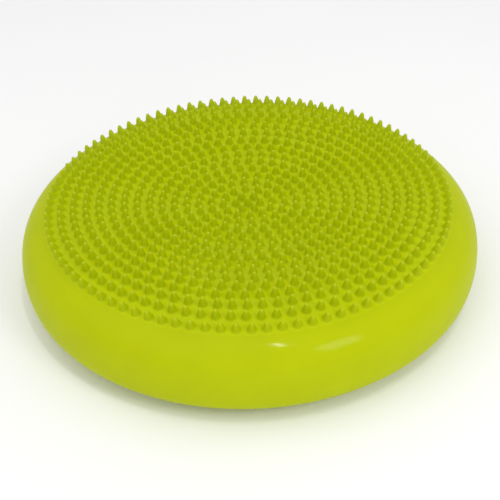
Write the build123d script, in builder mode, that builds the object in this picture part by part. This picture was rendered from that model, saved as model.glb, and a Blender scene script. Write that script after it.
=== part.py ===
"""Balance pad: an inflatable wobble cushion moulded in soft PVC.

Frame: millimetres, +Z up, origin at the centre of the pad on the surface that it stands on.
The pad is a flat hollow disc of two halves welded around the rim. Its top is dished a little and
carries rings of pointed spikes. The valve faces +Y, low on the rim.
"""
import os
from math import asin, atan2, copysign, cos, radians, sin, sqrt

from build123d import *

# Outline of the disc: arcs that run into each other, each a radius and a turn in degrees. Both
# halves start at the widest point of the rim, and the turns are positive to the left.
pad_radius = 165.0                                   # 330 mm across
upper_rim_arcs = [(47.3, 13.8), (26.7, 57.2), (80.6, 19.0)]
crest_turn = 8.6                                     # slope where the crest runs into the dish
crest_arc_radius = 260.0
lower_rim_arcs = [(44.4, -11.5), (16.3, -54.3), (56.5, -16.2), (560.0, -8.0)]
wall = 3.5                                           # thickness of the moulded skin

# Welded lap between the two halves: a lip of the lower half inside the upper one
lap_height = 6.0
lap_thickness = 2.0
lap_gap = 0.2
lap_root = 0.4            # how far the lip's foot is sunk into the lower wall
lap_foot = 5.0            # how far the lip reaches below the widest plane

# Spikes of the top
ring_count = 16
ring_pitch = 8.86
spikes_added_per_ring = 6
spike_phase = -0.25       # degrees from +X to the first spike of the outermost ring
sway_share = 0.22         # how far the other rings are turned from that, as a share of their spacing
sway_step = 2.3           # radians of the sway's wave from ring to ring
spike_height = 7.2        # above the skin
spike_root = 1.6          # buried length
spike_base_radius = 3.1
spike_tip_radius = 0.9

# Low round grip ribs of the underside
rib_count = 4
rib_first_radius = 98.0
rib_pitch = 11.0
rib_radius = 2.6
rib_rise = 1.0

# Valve: heights along its own axis, which points out of the pad
valve_drop = 11.2         # mouth below the widest plane
valve_tilt = 20.0         # degrees below level
recess_radius = 5.2
recess_floor = -2.6
boss_radius = 9.0
boss_inner_face = -7.6
socket_radius = 4.0
flange_radius = 8.0
flange_thickness = 1.8
tail_radius = 4.7
tail_length = 9.0
plug_bore_radius = 2.5
core_radius = 3.2
core_top = -9.0
core_length = 8.2
needle_radius = 0.4
needle_funnel_radius = 1.6
tail_mouth_radius = 2.4
shank_clearance = 0.05
seat_gap = 0.1
shank_length = 6.0
head_radius = 4.7
head_thickness = 1.2
knob_radius = 1.8
knob_rise = 0.9

up, down = 90.0, -90.0    # headings in the plane of the section, degrees from outward


def walk(start, heading, bends):
    """Centre, signed radius and end of each arc of a chain that starts at a heading."""
    steps = []
    x, z = start
    for radius, turn in bends:
        signed = copysign(radius, turn)
        centre = (x - signed * sin(radians(heading)), z + signed * cos(radians(heading)))
        heading += turn
        x, z = centre[0] + signed * sin(radians(heading)), centre[1] - signed * cos(radians(heading))
        steps.append((centre, signed, (x, z)))
    return steps


def skin_height(chain, x):
    """Height of a chain of arcs at a distance from the axis."""
    for centre, signed, end in chain:
        if x >= end[0]:
            return centre[1] + copysign(sqrt(signed**2 - (x - centre[0]) ** 2), signed)
    return chain[-1][2][1]


def skin_slope(chain, x):
    """Fall of a chain of arcs, outward, in radians."""
    centre, signed, _ = next(step for step in chain if x >= step[2][0])
    return asin((x - centre[0]) / signed)


def draw(start, heading, bends):
    """Draws a chain of arcs in the open BuildLine and returns its end."""
    for radius, turn in bends:
        tangent = (cos(radians(heading)), sin(radians(heading)))
        arc = JernArc(start=start, tangent=tangent, radius=radius, arc_size=turn)
        start, heading = arc @ 1, heading + turn
    return start


rim_height = -walk((pad_radius, 0.0), down, lower_rim_arcs)[-1][2][1]   # of the widest plane
widest = (pad_radius, rim_height)
widest_inside = (pad_radius - wall, rim_height)
crest = walk(widest, up, upper_rim_arcs)[-1][2]
dish_arc_radius = crest[0] / sin(radians(crest_turn)) - crest_arc_radius
top_arcs = upper_rim_arcs + [(crest_arc_radius, crest_turn), (dish_arc_radius, -crest_turn)]
inner_top_arcs = [(radius - copysign(wall, turn), turn) for radius, turn in top_arcs]
inner_under_arcs = [(radius - wall, turn) for radius, turn in lower_rim_arcs]
top_chain = walk(widest, up, top_arcs)
under_chain = walk(widest, down, lower_rim_arcs)

valve_height = rim_height - valve_drop
valve_radius = next(
    centre[0] + sqrt(signed**2 - (valve_height - centre[1]) ** 2)
    for centre, signed, end in under_chain
    if valve_height >= end[1]
)
valve_plane = Plane(
    origin=(0, valve_radius, valve_height),
    x_dir=(1, 0, 0),
    z_dir=(0, cos(radians(valve_tilt)), -sin(radians(valve_tilt))),
)
valve_axis = Axis(valve_plane.origin, valve_plane.z_dir)


def valve_level(height):
    """Plane square to the valve's axis, at a height along it."""
    return valve_plane.offset(height)


# One spike: a cone with a rounded tip, standing on the plane of its skin
with BuildPart() as spike:
    flank = atan2(spike_base_radius - spike_tip_radius, spike_height)
    tip_centre = spike_height - spike_tip_radius
    tip_start = (spike_tip_radius * cos(flank), tip_centre + spike_tip_radius * sin(flank))
    root_radius = spike_base_radius + spike_root * (spike_base_radius - tip_start[0]) / tip_start[1]
    with BuildSketch(Plane.XZ):
        with BuildLine():
            Polyline((0, -spike_root), (root_radius, -spike_root), tip_start)
            RadiusArc(tip_start, (0, spike_height), -spike_tip_radius)
            Line((0, spike_height), (0, -spike_root))
        make_face()
    revolve(axis=Axis.Z)

# Every spike is square to the skin where it stands
spike_places = [Plane(origin=(0, 0, skin_height(top_chain, 0)))]
for ring in range(1, ring_count + 1):
    ring_radius = ring * ring_pitch
    spikes_in_ring = ring * spikes_added_per_ring
    sway = sway_share * sin(sway_step * (ring_count - ring))
    ring_level = skin_height(top_chain, ring_radius)
    ring_slope = skin_slope(top_chain, ring_radius)
    for i in range(spikes_in_ring):
        angle = radians(spike_phase + 360 * (i + sway) / spikes_in_ring)
        spike_places.append(Plane(
            origin=(ring_radius * cos(angle), ring_radius * sin(angle), ring_level),
            x_dir=(cos(ring_slope) * cos(angle), cos(ring_slope) * sin(angle), -sin(ring_slope)),
            z_dir=(sin(ring_slope) * cos(angle), sin(ring_slope) * sin(angle), cos(ring_slope)),
        ))

with BuildPart() as upper_shell:
    with BuildSketch(Plane.XZ):
        with BuildLine():
            outer_end = draw(widest, up, top_arcs)
            inner_end = draw(widest_inside, up, inner_top_arcs)
            Line(outer_end, inner_end)
            Line(widest, widest_inside)
        make_face()
    revolve(axis=Axis.Z)

# All the spikes: separate solids, each sunk into the skin by its root
with BuildPart() as spikes:
    with Locations(*spike_places):
        add(spike.part)

# Air space of the lower half, with room left for the thick boss around the valve
with BuildPart() as lower_cavity:
    with BuildSketch(Plane.XZ):
        with BuildLine():
            sole_edge = draw(widest_inside, down, inner_under_arcs)
            Polyline(sole_edge, (0, wall), (0, rim_height), widest_inside)
        make_face()
    revolve(axis=Axis.Z)
    with BuildSketch(valve_level(boss_inner_face)):
        Circle(boss_radius)
    extrude(amount=4 * wall, mode=Mode.SUBTRACT)

with BuildPart() as lower_shell:
    with BuildSketch(Plane.XZ):
        with BuildLine():
            sole_edge = draw(widest, down, lower_rim_arcs)
            Polyline(sole_edge, (0, 0), (0, rim_height), widest)
        make_face()
        for rib in range(rib_count):
            rib_place = rib_first_radius + rib * rib_pitch
            with Locations((rib_place, skin_height(under_chain, rib_place) + rib_radius - rib_rise)):
                Circle(rib_radius)
    revolve(axis=Axis.Z)
    add(lower_cavity.part, mode=Mode.SUBTRACT)
    with BuildSketch(Plane.XZ):
        lap_outer = pad_radius - wall - lap_gap
        foot_outer = pad_radius - wall + lap_root
        with BuildLine():
            Polyline(
                (foot_outer, rim_height - lap_foot),
                (foot_outer, rim_height),
                (lap_outer, rim_height),
                (lap_outer, rim_height + lap_height),
                (lap_outer - lap_thickness, rim_height + lap_height),
                (lap_outer - lap_thickness, rim_height - lap_foot + lap_thickness),
                close=True,
            )
        make_face()
    revolve(axis=Axis.Z)
    # The lip and the wall give way to the valve's flange, then the socket and recess are bored
    with BuildSketch(valve_level(boss_inner_face)):
        Circle(boss_radius)
    extrude(amount=-4 * wall, mode=Mode.SUBTRACT)
    with BuildSketch(valve_level(boss_inner_face)):
        Circle(socket_radius)
    extrude(amount=4 * wall, mode=Mode.SUBTRACT)
    with BuildSketch(valve_level(recess_floor)):
        Circle(recess_radius)
    extrude(amount=3 * wall, mode=Mode.SUBTRACT)

# Valve socket: a moulded tube bonded into the boss, with a flange inside the pad
with BuildPart() as valve_housing:
    flange_back = boss_inner_face - flange_thickness
    tail_end = flange_back - tail_length
    with BuildSketch(valve_level(recess_floor)):
        Circle(socket_radius)
    extrude(amount=boss_inner_face - recess_floor)
    with BuildSketch(valve_level(boss_inner_face)):
        Circle(flange_radius)
    extrude(amount=-flange_thickness)
    with BuildSketch(valve_level(flange_back)):
        Circle(tail_radius)
    extrude(amount=-tail_length)
    with BuildSketch(valve_level(recess_floor)):
        Circle(plug_bore_radius)
    extrude(amount=core_top - recess_floor, mode=Mode.SUBTRACT)
    with BuildSketch(valve_level(core_top)):
        Circle(core_radius)
    extrude(amount=-core_length, mode=Mode.SUBTRACT)
    with BuildSketch(valve_level(tail_end)):
        Circle(tail_mouth_radius)
    extrude(amount=tail_length, mode=Mode.SUBTRACT)

# Self-sealing core: the pump's needle goes through its channel
with BuildPart() as valve_core:
    with BuildSketch(valve_level(core_top)):
        Circle(core_radius)
    extrude(amount=-core_length)
    with BuildSketch(valve_level(core_top)):
        Circle(needle_radius)
    extrude(amount=-core_length, mode=Mode.SUBTRACT)
    with BuildSketch(valve_level(core_top)):
        Circle(needle_funnel_radius)
    extrude(amount=-needle_funnel_radius, taper=40, mode=Mode.SUBTRACT)

# Stopper that plugs the socket's mouth and keeps dirt out of the core
with BuildPart() as valve_stopper:
    head_seat = recess_floor + seat_gap
    with BuildSketch(valve_level(head_seat)):
        Circle(plug_bore_radius - shank_clearance)
    extrude(amount=-shank_length)
    chamfer(faces().sort_by(valve_axis)[0].edges(), 0.5)
    with BuildSketch(valve_level(head_seat)):
        Circle(head_radius)
    extrude(amount=head_thickness)
    with BuildSketch(valve_level(head_seat + head_thickness)):
        Circle(knob_radius)
    extrude(amount=knob_rise)
    fillet(faces().sort_by(valve_axis)[-1].edges(), 0.4)

pieces = {
    "upper_shell": upper_shell,
    "spikes": spikes,
    "lower_shell": lower_shell,
    "valve_housing": valve_housing,
    "valve_core": valve_core,
    "valve_stopper": valve_stopper,
}
os.makedirs("parts", exist_ok=True)
for name, piece in pieces.items():
    piece.part.label = name
    export_step(piece.part, f"parts/{name}.step")
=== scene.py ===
import math
import random

import bmesh
import bpy
from mathutils import Matrix, Vector


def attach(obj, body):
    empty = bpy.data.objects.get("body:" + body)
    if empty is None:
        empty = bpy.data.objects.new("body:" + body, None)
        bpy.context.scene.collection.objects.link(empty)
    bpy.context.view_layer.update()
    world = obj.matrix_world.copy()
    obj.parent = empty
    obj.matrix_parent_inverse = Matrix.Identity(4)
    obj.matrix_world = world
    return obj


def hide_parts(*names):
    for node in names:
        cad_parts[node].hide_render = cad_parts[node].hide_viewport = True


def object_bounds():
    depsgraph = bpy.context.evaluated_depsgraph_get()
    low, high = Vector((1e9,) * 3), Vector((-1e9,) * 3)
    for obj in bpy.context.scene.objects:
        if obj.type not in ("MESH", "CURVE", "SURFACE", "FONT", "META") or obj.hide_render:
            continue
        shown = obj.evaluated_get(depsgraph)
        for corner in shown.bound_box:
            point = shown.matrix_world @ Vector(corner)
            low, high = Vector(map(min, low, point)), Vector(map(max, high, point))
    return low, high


# Balance pad: the two halves of the cushion are meshed here from the same arcs as the CAD skin, with
# every spike growing out of the top. Metres, origin at the pad's centre on the floor, valve at +Y.

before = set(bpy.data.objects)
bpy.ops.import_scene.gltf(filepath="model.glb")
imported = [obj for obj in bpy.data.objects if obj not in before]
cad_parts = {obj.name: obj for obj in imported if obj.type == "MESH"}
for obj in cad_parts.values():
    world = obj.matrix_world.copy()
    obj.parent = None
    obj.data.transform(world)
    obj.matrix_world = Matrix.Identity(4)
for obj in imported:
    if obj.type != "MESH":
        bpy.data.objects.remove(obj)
cad_low, cad_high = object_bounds()

MM = 0.001

# Skin: arcs of (radius, turn in degrees) from the widest point of the rim, as in the CAD outline
PAD_RADIUS = (cad_high.x - cad_low.x) / 2
UPPER_RIM_ARCS = [(47.3 * MM, 13.8), (26.7 * MM, 57.2), (80.6 * MM, 19.0)]
LOWER_RIM_ARCS = [(44.4 * MM, -11.5), (16.3 * MM, -54.3), (56.5 * MM, -16.2), (560.0 * MM, -8.0)]
CREST_TURN = 8.6
CREST_ARC_RADIUS = 260.0 * MM
WALL = 3.5 * MM

# Spikes
RING_COUNT = 16
RING_PITCH = 8.86 * MM
SPIKES_ADDED_PER_RING = 6
SPIKE_PHASE = -0.25        # degrees, of the outermost ring
SWAY_SHARE = 0.22          # turn of the other rings, as a share of their spacing
SWAY_STEP = 2.3
CELL_SHARE = 0.46          # half of a ring's band of cells, as a share of the pitch
SIDES = 12                 # points around a spike
FIRST_CORNER = -45.0       # direction of the first of them, in degrees from the ring's outward direction
CELL_STEPS = 3             # steps along each edge of a spike's cell
# A spike's outline: distance from its axis and height along it
SPIKE_OUTLINE = [
    (3.90 * MM, 0.00 * MM),
    (3.35 * MM, 0.20 * MM),
    (2.90 * MM, 0.90 * MM),
    (2.35 * MM, 2.90 * MM),
    (1.70 * MM, 5.20 * MM),
    (1.10 * MM, 6.60 * MM),
    (0.55 * MM, 7.08 * MM),
]
SPIKE_HEIGHT = 7.2 * MM
SPIKE_LEAN = 0.15 * MM     # how far a tip strays from its axis
SPIKE_VARIATION = 0.02     # share of its height
FIELD_PAINTED_LIGHT_MARK = 0.05          # share kept for the skin between the spikes, which picks its painted light; the rest of the skin keeps 0

# Underside ribs
RIB_COUNT = 4
RIB_FIRST_RADIUS = 98.0 * MM
RIB_PITCH = 11.0 * MM
RIB_HALF_WIDTH = 2.1 * MM
RIB_RISE = 1.0 * MM
RIB_SHARES = (-1.3, -1, -0.9, -0.65, -0.3, 0, 0.3, 0.65, 0.9, 1, 1.3)    # where a rib's outline has points

# Valve
VALVE_ANGLE = 90.0
VALVE_DROP = 11.2 * MM
VALVE_TILT = 20.0
RECESS_RADIUS = 5.2 * MM
RECESS_FLOOR = -2.6 * MM
SOCKET_RADIUS = 4.0 * MM
BOSS_RADIUS = 5.6 * MM
BOSS_INNER_FACE = -7.6 * MM
WINDOW_COLUMNS = 3         # segments left out of the rim on each side of the valve
WINDOW_ROWS = 13           # and rows of them, down from the widest plane

# Meshing
SEGMENTS = 288             # around the rim
RIM_SPACING = 1.9 * MM     # along the rim's outline
SOLE_RINGS = (30 * MM, 20 * MM, 10 * MM)
SHARP = math.radians(55.0) # edges that turn by more than this are shaded as edges
ROUNDING = 1e-9

# Camera and light
CAMERA_DISTANCE = 0.703
CAMERA_ELEVATION = 36.02
CAMERA_ROLL = -2.21
LENS = 68.40
CAMERA_SHIFT = (0.0018, -0.0324)
SENSOR_WIDTH = 36.0
WORLD_STRENGTH = 0.72
FLOOR_HALF_SIDE = 8.0


def walk(start, heading, bends):
    """Centre, signed radius and end of each arc of a chain that starts at a heading in degrees."""
    steps = []
    x, z = start
    for radius, turn in bends:
        signed = math.copysign(radius, turn)
        angle = math.radians(heading)
        centre = (x - signed * math.sin(angle), z + signed * math.cos(angle))
        heading += turn
        angle = math.radians(heading)
        x, z = centre[0] + signed * math.sin(angle), centre[1] - signed * math.cos(angle)
        steps.append((centre, signed, (x, z)))
    return steps


def skin_height(chain, x):
    """Height of a chain of arcs at a distance from the pad's axis."""
    for centre, signed, end in chain:
        if x >= end[0]:
            inside = max(signed**2 - (x - centre[0]) ** 2, 0)
            return centre[1] + math.copysign(math.sqrt(inside), signed)
    return chain[-1][2][1]


def skin_slope(chain, x):
    """Fall of a chain of arcs, outward, in radians."""
    centre, signed, _ = next(step for step in chain if x >= step[2][0] - ROUNDING)
    return math.asin((x - centre[0]) / signed)


def along(start, heading, bends, spacing):
    """Points along a chain of arcs, no further apart than the spacing asked for."""
    points = [start]
    for (radius, turn), (centre, signed, _) in zip(bends, walk(start, heading, bends)):
        count = max(2, math.ceil(radius * math.radians(abs(turn)) / spacing))
        for i in range(1, count + 1):
            angle = math.radians(heading + turn * i / count)
            points.append((centre[0] + signed * math.sin(angle), centre[1] - signed * math.cos(angle)))
        heading += turn
    return points


RIM_HEIGHT = -walk((PAD_RADIUS, 0.0), -90.0, LOWER_RIM_ARCS)[-1][2][1]
WIDEST = (PAD_RADIUS, RIM_HEIGHT)
WIDEST_INSIDE = (PAD_RADIUS - WALL, RIM_HEIGHT)
CREST = walk(WIDEST, 90.0, UPPER_RIM_ARCS)[-1][2]
DISH_ARC_RADIUS = CREST[0] / math.sin(math.radians(CREST_TURN)) - CREST_ARC_RADIUS
TOP_ARCS = UPPER_RIM_ARCS + [(CREST_ARC_RADIUS, CREST_TURN), (DISH_ARC_RADIUS, -CREST_TURN)]
INNER_TOP_ARCS = [(radius - math.copysign(WALL, turn), turn) for radius, turn in TOP_ARCS]
INNER_UNDER_ARCS = [(radius - WALL, turn) for radius, turn in LOWER_RIM_ARCS]
TOP_CHAIN = walk(WIDEST, 90.0, TOP_ARCS)
UNDER_CHAIN = walk(WIDEST, -90.0, LOWER_RIM_ARCS)


class Net:
    """Points and faces of one piece, with a number from 0 to 1 kept for each point."""

    def __init__(self):
        self.points = []
        self.faces = []
        self.marks = []

    def point(self, position, mark=0.0):
        self.points.append(tuple(position))
        self.marks.append(mark)
        return len(self.points) - 1

    def loop(self, positions, mark=0.0):
        return [self.point(position, mark) for position in positions]

    def bridge(self, first, second):
        """Quads between two closed loops with as many points as each other."""
        count = len(first)
        for i in range(count):
            j = (i + 1) % count
            self.faces.append((first[i], first[j], second[j], second[i]))

    def zip(self, first, second):
        """Triangles between two closed loops, from the first's start and the point nearest to it."""
        start = Vector(self.points[first[0]])
        nearest = min(range(len(second)), key=lambda k: (Vector(self.points[second[k]]) - start).length)
        second = second[nearest:] + second[:nearest]
        i = j = 0
        while i < len(first) or j < len(second):
            a, b = first[i % len(first)], second[j % len(second)]
            if j == len(second) or (i < len(first) and (i + 1) * len(second) <= (j + 1) * len(first)):
                i += 1
                self.faces.append((a, first[i % len(first)], b))
            else:
                j += 1
                self.faces.append((a, second[j % len(second)], b))

    def fan(self, loop, apex):
        for i in range(len(loop)):
            self.faces.append((loop[i], loop[(i + 1) % len(loop)], apex))

    def piece(self, name, material):
        mesh = bpy.data.meshes.new(name)
        mesh.from_pydata(self.points, [], self.faces)
        # The share attribute picks painted light between the spikes, painted shade on their flanks and a
        # painted highlight at their tips
        marks = mesh.attributes.new("share", "FLOAT", "POINT")
        marks.data.foreach_set("value", self.marks)
        shape = bmesh.new()
        shape.from_mesh(mesh)
        bmesh.ops.recalc_face_normals(shape, faces=shape.faces)
        for edge in shape.edges:
            edge.smooth = edge.calc_face_angle(0.0) < SHARP
        shape.to_mesh(mesh)
        shape.free()
        mesh.shade_smooth()
        mesh.materials.append(material)
        obj = bpy.data.objects.new(name, mesh)
        bpy.context.collection.objects.link(obj)
        return obj


def polar(radius, degrees, height):
    angle = math.radians(degrees)
    return (radius * math.cos(angle), radius * math.sin(angle), height)


def circle(radius, height, count, start=0.0):
    return [polar(radius, start + 360.0 * i / count, height) for i in range(count)]


def grow_spike(net, centre_radius, degrees, boundary, rng):
    """One spike, square to the skin: loops that rise from its cell's boundary to a rounded tip."""
    angle = math.radians(degrees)
    slope = skin_slope(TOP_CHAIN, centre_radius)
    outward = Vector((math.cos(angle), math.sin(angle)))
    sideways = Vector((-math.sin(angle), math.cos(angle)))
    centre = outward * centre_radius
    base = skin_height(TOP_CHAIN, centre_radius)
    stretch = 1 + rng.uniform(-SPIKE_VARIATION, SPIKE_VARIATION)
    lean = Vector((rng.uniform(-SPIKE_LEAN, SPIKE_LEAN), rng.uniform(-SPIKE_LEAN, SPIKE_LEAN)))
    lean += outward * SPIKE_HEIGHT * stretch * math.sin(slope)
    previous = boundary
    for reach, rise in SPIKE_OUTLINE:
        share = rise / SPIKE_HEIGHT
        loop = []
        for k in range(SIDES):
            turn = math.radians(FIRST_CORNER + 360.0 * k / SIDES)
            down_slope = math.cos(turn) * reach
            flat = centre + outward * down_slope * math.cos(slope) + sideways * math.sin(turn) * reach
            skin = skin_height(TOP_CHAIN, flat.length)
            plane = base - down_slope * math.sin(slope)
            level = skin + (plane - skin) * min(share * 4, 1) + rise * stretch * math.cos(slope)
            flat += lean * share
            # The share of height picks painted shade up the flank and, at the tip, a painted highlight
            loop.append(net.point((flat.x, flat.y, level), max(share, FIELD_PAINTED_LIGHT_MARK)))
        net.bridge(previous, loop)
        previous = loop
    tip = centre + lean
    net.fan(previous, net.point((tip.x, tip.y, base + SPIKE_HEIGHT * stretch * math.cos(slope)), 1.0))


def ring_phase(ring):
    """Direction of a ring's first spike, in degrees."""
    sway = SWAY_SHARE * math.sin(SWAY_STEP * (RING_COUNT - ring))
    return SPIKE_PHASE + 360.0 * sway / (SPIKES_ADDED_PER_RING * ring)


def band_loop(radius, ring):
    count = CELL_STEPS * SPIKES_ADDED_PER_RING * ring
    start = ring_phase(ring) - 180.0 / (SPIKES_ADDED_PER_RING * ring)
    return circle(radius, skin_height(TOP_CHAIN, radius), count, start)


def spike_ring(net, ring, rng):
    """A ring of cells with a spike in each; gives the ring's inner and outer loops."""
    radius = ring * RING_PITCH
    count = SPIKES_ADDED_PER_RING * ring
    step = 360.0 / count
    inner_radius, outer_radius = radius - CELL_SHARE * RING_PITCH, radius + CELL_SHARE * RING_PITCH
    inner = net.loop(band_loop(inner_radius, ring), FIELD_PAINTED_LIGHT_MARK)
    outer = net.loop(band_loop(outer_radius, ring), FIELD_PAINTED_LIGHT_MARK if ring < RING_COUNT else 0.0)
    borders = []
    for i in range(count):
        places = [inner_radius + (outer_radius - inner_radius) * share for share in (1 / 3, 2 / 3)]
        border_angle = ring_phase(ring) + (i - 0.5) * step
        border = [polar(r, border_angle, skin_height(TOP_CHAIN, r)) for r in places]
        borders.append(net.loop(border, FIELD_PAINTED_LIGHT_MARK))
    for i in range(count):
        here, there = borders[i], borders[(i + 1) % count]
        o, n = CELL_STEPS * i, CELL_STEPS * count
        boundary = [outer[o], outer[o + 1], outer[o + 2], outer[(o + 3) % n], there[1], there[0]]
        boundary += [inner[(o + 3) % n], inner[o + 2], inner[o + 1], inner[o], here[0], here[1]]
        grow_spike(net, radius, ring_phase(ring) + i * step, boundary, rng)
    return inner, outer


def upper_half(material):
    net = Net()
    rng = random.Random(7)
    pole_radius = CELL_SHARE * RING_PITCH
    pole = circle(pole_radius, skin_height(TOP_CHAIN, pole_radius), SIDES, SPIKE_PHASE + FIRST_CORNER)
    previous = net.loop(pole, FIELD_PAINTED_LIGHT_MARK)
    grow_spike(net, 0.0, SPIKE_PHASE, previous, rng)
    for ring in range(1, RING_COUNT + 1):
        inner, outer = spike_ring(net, ring, rng)
        net.zip(previous, inner)
        previous = outer
    start = SPIKE_PHASE - 180.0 / (SPIKES_ADDED_PER_RING * RING_COUNT)
    rim_edge = (RING_COUNT + CELL_SHARE) * RING_PITCH + 1.0 * MM
    rim = [point for point in along(WIDEST, 90.0, UPPER_RIM_ARCS, RIM_SPACING) if point[0] > rim_edge]
    for radius, height in reversed(rim):
        loop = net.loop(circle(radius, height, SEGMENTS, start))
        net.bridge(previous, loop)
        previous = loop
    for i, (radius, height) in enumerate(along(WIDEST_INSIDE, 90.0, INNER_TOP_ARCS, 8.0 * MM)[:-1]):
        loop = net.loop(circle(radius, height, SEGMENTS if i < 2 else SEGMENTS // 3, start))
        if len(loop) == len(previous):
            net.bridge(previous, loop)
        else:
            net.zip(previous, loop)
        previous = loop
    net.fan(previous, net.point((0, 0, skin_height(TOP_CHAIN, 0) - WALL)))
    return net.piece("cushion_top", material)


def rib_bump(radius):
    """How far the nearest rib stands out of the underside at a radius."""
    nearest = round((radius - RIB_FIRST_RADIUS) / RIB_PITCH)
    nearest = min(max(nearest, 0), RIB_COUNT - 1)
    offset = abs(radius - RIB_FIRST_RADIUS - nearest * RIB_PITCH)
    if offset >= RIB_HALF_WIDTH:
        return 0.0
    return RIB_RISE * (1 - (offset / RIB_HALF_WIDTH) ** 2) ** 0.7


def under_outline():
    """Outer outline of the lower half, from the widest point to the edge of the sole."""
    ribs_edge = RIB_FIRST_RADIUS + (RIB_COUNT - 0.5) * RIB_PITCH
    rim = [point for point in along(WIDEST, -90.0, LOWER_RIM_ARCS[:3], RIM_SPACING) if point[0] > ribs_edge]
    sole_edge = UNDER_CHAIN[-1][2][0]
    radii = []
    for rib in range(RIB_COUNT):
        middle = RIB_FIRST_RADIUS + rib * RIB_PITCH
        radii += [middle + share * RIB_HALF_WIDTH for share in RIB_SHARES]
    radii += [sole_edge + (RIB_FIRST_RADIUS - sole_edge) * share for share in (0, 0.08, 0.25, 0.5, 0.75)]
    radii.sort(reverse=True)
    return rim + [(r, skin_height(UNDER_CHAIN, r) - rib_bump(r)) for r in radii]


def under_radius(chain, height):
    """Distance of the lower rim from the pad's axis at a height."""
    for centre, signed, end in chain:
        if height >= end[1]:
            return centre[0] + math.sqrt(signed**2 - (height - centre[1]) ** 2)
    return chain[-1][2][0]


VALVE_HEIGHT = RIM_HEIGHT - VALVE_DROP
TILT = math.radians(VALVE_TILT)
VALVE_CENTRE = Vector((0, under_radius(UNDER_CHAIN, VALVE_HEIGHT), VALVE_HEIGHT))
VALVE_OUT = Vector((0, math.cos(TILT), -math.sin(TILT)))
VALVE_ACROSS = Vector((1, 0, 0))
VALVE_UP = Vector((0, math.sin(TILT), math.cos(TILT)))


def around_valve(angles, radius, level):
    """A loop around the valve's axis, at the same angles as its cell's boundary."""
    points = []
    for angle in angles:
        flat = VALVE_CENTRE + (VALVE_ACROSS * math.cos(angle) + VALVE_UP * math.sin(angle)) * radius
        points.append(flat + VALVE_OUT * level)
    return points


def on_skin(angles, radius, chain, sink=0.0):
    """The same loop, dropped along the valve's axis on to the skin of the lower half."""
    points = []
    for angle in angles:
        flat = VALVE_CENTRE + (VALVE_ACROSS * math.cos(angle) + VALVE_UP * math.sin(angle)) * radius
        low, high = -20 * MM, 10 * MM
        for _ in range(40):
            middle = (low + high) / 2
            place = flat + VALVE_OUT * middle
            if math.hypot(place.x, place.y) > under_radius(chain, min(place.z, RIM_HEIGHT)):
                high = middle
            else:
                low = middle
        points.append(flat + VALVE_OUT * (low - sink))
    return points


def half_with_window(net, outline):
    """Loops of a half, with quads between them except in a window around the valve.

    Gives the first loop, the last loop and the window's boundary."""
    loops = [net.loop(circle(radius, height, SEGMENTS)) for radius, height in outline]
    middle = round(VALVE_ANGLE / 360 * SEGMENTS)
    first, last = middle - WINDOW_COLUMNS, middle + WINDOW_COLUMNS
    for row, (upper, lower) in enumerate(zip(loops, loops[1:])):
        for column in range(SEGMENTS):
            if row < WINDOW_ROWS and first <= column < last:
                continue
            after = (column + 1) % SEGMENTS
            net.faces.append((upper[column], upper[after], lower[after], lower[column]))
    boundary = [loops[0][column] for column in range(first, last)]
    boundary += [loops[row][last] for row in range(WINDOW_ROWS)]
    boundary += [loops[WINDOW_ROWS][column] for column in range(last, first, -1)]
    boundary += [loops[row][first] for row in range(WINDOW_ROWS, 0, -1)]
    return loops[0], loops[-1], boundary


def valve_angles(net, boundary):
    """Angle of each boundary point around the valve's axis."""
    angles = []
    for index in boundary:
        spoke = Vector(net.points[index]) - VALVE_CENTRE
        angles.append(math.atan2(spoke.dot(VALVE_UP), spoke.dot(VALVE_ACROSS)))
    return angles


def lower_half(material):
    net = Net()
    outer_first, sole, boundary = half_with_window(net, under_outline())
    angles = valve_angles(net, boundary)
    socket = [
        on_skin(angles, 6.5 * MM, UNDER_CHAIN),
        on_skin(angles, RECESS_RADIUS + 0.4 * MM, UNDER_CHAIN),
        on_skin(angles, RECESS_RADIUS + 0.1 * MM, UNDER_CHAIN, 0.08 * MM),
        on_skin(angles, RECESS_RADIUS, UNDER_CHAIN, 0.35 * MM),
        around_valve(angles, RECESS_RADIUS, RECESS_FLOOR + 0.25 * MM),
        around_valve(angles, RECESS_RADIUS - 0.25 * MM, RECESS_FLOOR),
        around_valve(angles, SOCKET_RADIUS, RECESS_FLOOR),
        around_valve(angles, SOCKET_RADIUS, BOSS_INNER_FACE),
    ]
    previous = boundary
    for positions in socket:
        loop = net.loop(positions)
        net.bridge(previous, loop)
        previous = loop
    socket_end = previous
    for radius in SOLE_RINGS:
        loop = net.loop(circle(radius, 0.0, SEGMENTS))
        net.bridge(sole, loop)
        sole = loop
    net.fan(sole, net.point((0, 0, 0)))

    inner_chain = walk(WIDEST_INSIDE, -90.0, INNER_UNDER_ARCS)
    inner_outline = along(WIDEST_INSIDE, -90.0, INNER_UNDER_ARCS[:3], 1.6 * MM)
    heading = -90.0 + sum(turn for _, turn in LOWER_RIM_ARCS[:3])
    inner_outline += along(inner_chain[2][2], heading, INNER_UNDER_ARCS[3:], 20 * MM)[1:]
    inner_first, inner_last, boundary = half_with_window(net, inner_outline)
    net.bridge(outer_first, inner_first)
    angles = valve_angles(net, boundary)
    boss = [
        on_skin(angles, 6.0 * MM, inner_chain),
        on_skin(angles, BOSS_RADIUS, inner_chain, 0.3 * MM),
        around_valve(angles, BOSS_RADIUS, BOSS_INNER_FACE),
    ]
    previous = boundary
    for positions in boss:
        loop = net.loop(positions)
        net.bridge(previous, loop)
        previous = loop
    net.bridge(previous, socket_end)
    net.fan(inner_last, net.point((0, 0, WALL)))
    return net.piece("cushion_base", material)


# Materials


def srgb(red, green, blue):
    """Linear colour of an 8-bit sRGB one."""
    def linear(value):
        value /= 255
        return value / 12.92 if value <= 0.04045 else ((value + 0.055) / 1.055) ** 2.4
    return (linear(red), linear(green), linear(blue), 1.0)


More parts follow.
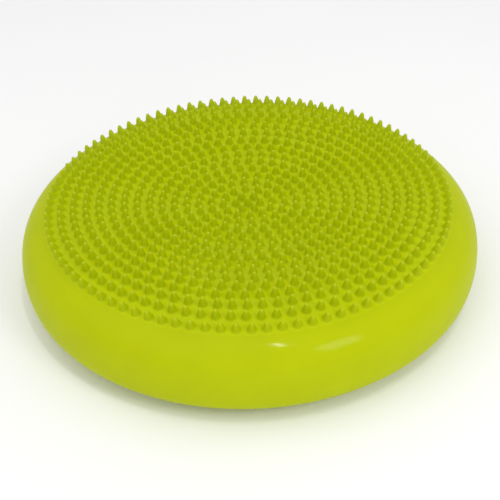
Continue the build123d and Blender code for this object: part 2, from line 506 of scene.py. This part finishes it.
class Shading:
    """A material under construction."""

    def __init__(self, name):
        self.material = bpy.data.materials.new(name)
        self.material.use_nodes = True
        self.tree = self.material.node_tree
        self.shader = self.tree.nodes["Principled BSDF"]

    def node(self, kind, **settings):
        made = self.tree.nodes.new(kind)
        for key, value in settings.items():
            setattr(made, key, value)
        return made

    def link(self, source, target):
        self.tree.links.new(source, target)

    def noise(self, scale, detail=3.0):
        place = self.node("ShaderNodeTexCoord")
        noise = self.node("ShaderNodeTexNoise")
        noise.inputs["Scale"].default_value = scale
        noise.inputs["Detail"].default_value = detail
        self.link(place.outputs["Object"], noise.inputs["Vector"])
        return noise.outputs["Fac"]

    def ramp(self, source, stops):
        """Colour ramp from (position, colour) stops."""
        ramp = self.node("ShaderNodeValToRGB")
        elements = ramp.color_ramp.elements
        while len(elements) < len(stops):
            elements.new(0.5)
        for element, (position, colour) in zip(elements, stops):
            element.position = position
            element.color = colour
        self.link(source, ramp.inputs["Fac"])
        return ramp.outputs["Color"]

    def span(self, source, low, high):
        """The source's 0 to 1 stretched to low to high."""
        stretch = self.node("ShaderNodeMapRange")
        stretch.inputs["To Min"].default_value = low
        stretch.inputs["To Max"].default_value = high
        self.link(source, stretch.inputs["Value"])
        return stretch.outputs["Result"]

    def tint(self, colour, amount):
        """Colour multiplied by a second one."""
        mix = self.node("ShaderNodeMix", data_type="RGBA", blend_type="MULTIPLY")
        mix.inputs["Factor"].default_value = 1.0
        self.link(colour, mix.inputs["A"])
        self.link(amount, mix.inputs["B"])
        return mix.outputs["Result"]

    def bump(self, height, strength, distance):
        bump = self.node("ShaderNodeBump")
        bump.inputs["Strength"].default_value = strength
        bump.inputs["Distance"].default_value = distance
        self.link(height, bump.inputs["Height"])
        self.link(bump.outputs["Normal"], self.shader.inputs["Normal"])

    def set(self, **values):
        for key, value in values.items():
            self.shader.inputs[key.replace("_", " ")].default_value = value


LIME = srgb(183, 195, 2)
# Painted light: the skin between the spikes is coloured lighter than the rim
LIME_FIELD_PAINTED_LIGHT = srgb(189, 202, 3)
# Painted shade: the spikes' flanks are coloured darker, as shade between neighbouring spikes
LIME_FLANK_PAINTED_SHADE = srgb(174, 188, 6)
# Painted highlight: the spike tips are coloured paler, as a small glint on each
LIME_TIP_PAINTED_HIGHLIGHT = srgb(184, 197, 36)


def soft_pvc():
    look = Shading("soft_pvc")
    share = look.node("ShaderNodeAttribute", attribute_name="share").outputs["Fac"]
    # Colour by share: painted light on the skin between the spikes, painted shade on the flanks, painted
    # highlight at the tips
    colour = look.ramp(share, [
        (0.0, LIME),
        (FIELD_PAINTED_LIGHT_MARK, LIME_FIELD_PAINTED_LIGHT),
        (0.18, LIME_FLANK_PAINTED_SHADE),
        (0.85, LIME_FLANK_PAINTED_SHADE),
        (1.0, LIME_TIP_PAINTED_HIGHLIGHT),
    ])
    mottling = look.ramp(look.noise(45.0, 4.0), [(0.3, (0.95, 0.95, 0.95, 1)), (0.7, (1.0, 1.0, 1.0, 1))])
    look.link(look.tint(colour, mottling), look.shader.inputs["Base Color"])
    look.link(look.span(look.noise(160.0), 0.48, 0.62), look.shader.inputs["Roughness"])
    look.bump(look.noise(900.0, 2.0), 0.10, 0.00015)
    look.set(Subsurface_Weight=0.15, Subsurface_Radius=(1.0, 1.0, 0.1), Subsurface_Scale=0.002)
    look.set(Specular_IOR_Level=0.02, Coat_Weight=0.13, Coat_Roughness=0.09)
    return look.material


def moulded(name, dark, light, roughness, grain):
    """Plain moulded plastic or rubber: a slight mottle and a fine grain."""
    look = Shading(name)
    look.link(look.ramp(look.noise(120.0), [(0.3, dark), (0.7, light)]), look.shader.inputs["Base Color"])
    gloss = look.span(look.noise(400.0), roughness - 0.06, roughness + 0.06)
    look.link(gloss, look.shader.inputs["Roughness"])
    look.bump(look.noise(2500.0, 2.0), grain, 0.0001)
    return look.material


pvc = soft_pvc()
top = upper_half(pvc)
base = lower_half(pvc)
for cushion_half, nodes in ((top, ("upper_shell", "spikes")), (base, ("lower_shell",))):
    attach(cushion_half, "pad")
    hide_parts(*nodes)

valve_looks = {
    "valve_housing": moulded("valve_pvc", srgb(150, 162, 4), srgb(165, 176, 6), 0.40, 0.15),
    "valve_core": moulded("core_rubber", srgb(30, 30, 30), srgb(44, 44, 44), 0.65, 0.3),
    "valve_stopper": moulded("stopper_plastic", srgb(160, 172, 5), srgb(174, 186, 8), 0.34, 0.1),
}
for node, look in valve_looks.items():
    carried = bpy.data.objects[node]
    for material_slot in carried.material_slots:
        material_slot.material = look


# Floor, light and camera


def floor():
    mesh = bpy.data.meshes.new("floor")
    shape = bmesh.new()
    bmesh.ops.create_grid(shape, x_segments=2, y_segments=2, size=FLOOR_HALF_SIDE)
    shape.to_mesh(mesh)
    shape.free()
    look = Shading("floor")
    pale = look.ramp(look.noise(3.0), [(0.3, (0.96, 0.96, 0.96, 1)), (0.7, (0.98, 0.98, 0.98, 1))])
    look.link(pale, look.shader.inputs["Base Color"])
    look.set(Roughness=0.9)
    mesh.materials.append(look.material)
    obj = bpy.data.objects.new("floor", mesh)
    bpy.context.collection.objects.link(obj)


FRONT_RIM = Vector((0.03, -0.15, RIM_HEIGHT + 0.026))


def softbox(name, direction, distance, width, depth, power):
    """Area light that faces the front of the pad's rim from a direction."""
    data = bpy.data.lights.new(name, "AREA")
    data.shape = "RECTANGLE"
    data.size, data.size_y, data.energy = width, depth, power
    obj = bpy.data.objects.new(name, data)
    toward = Vector(direction).normalized()
    obj.location = FRONT_RIM + toward * distance
    obj.rotation_euler = toward.to_track_quat("Z", "Y").to_euler()
    bpy.context.collection.objects.link(obj)


floor()
softbox("overhead", (0.12, -0.29, 0.95), 1.6, 0.06, 0.30, 3.2)
softbox("key", (0.54, -0.53, 0.65), 1.5, 0.44, 0.46, 4.4)
softbox("canopy", (-0.4, -0.25, 0.9), 2.2, 3.0, 3.0, 11.0)

world = bpy.data.worlds.new("studio")
world.use_nodes = True
world.node_tree.nodes["Background"].inputs["Color"].default_value = (1.0, 1.0, 1.0, 1.0)
world.node_tree.nodes["Background"].inputs["Strength"].default_value = WORLD_STRENGTH
scene = bpy.context.scene
scene.world = world
scene.view_settings.view_transform = "Standard"
scene.view_settings.look = "None"

camera_data = bpy.data.cameras.new("camera")
camera_data.lens = LENS
camera_data.sensor_width = SENSOR_WIDTH
camera_data.shift_x, camera_data.shift_y = CAMERA_SHIFT
camera_data.clip_start, camera_data.clip_end = 0.01, 50.0
camera = bpy.data.objects.new("camera", camera_data)
elevation = math.radians(CAMERA_ELEVATION)
back = Vector((0, -math.cos(elevation), math.sin(elevation)))
upright = back.to_track_quat("Z", "Y").to_matrix().to_4x4()
place = Matrix.Translation(Vector((0, 0, RIM_HEIGHT)) + back * CAMERA_DISTANCE)
camera.matrix_world = place @ upright @ Matrix.Rotation(math.radians(CAMERA_ROLL), 4, "Z")
bpy.context.collection.objects.link(camera)
scene.camera = camera
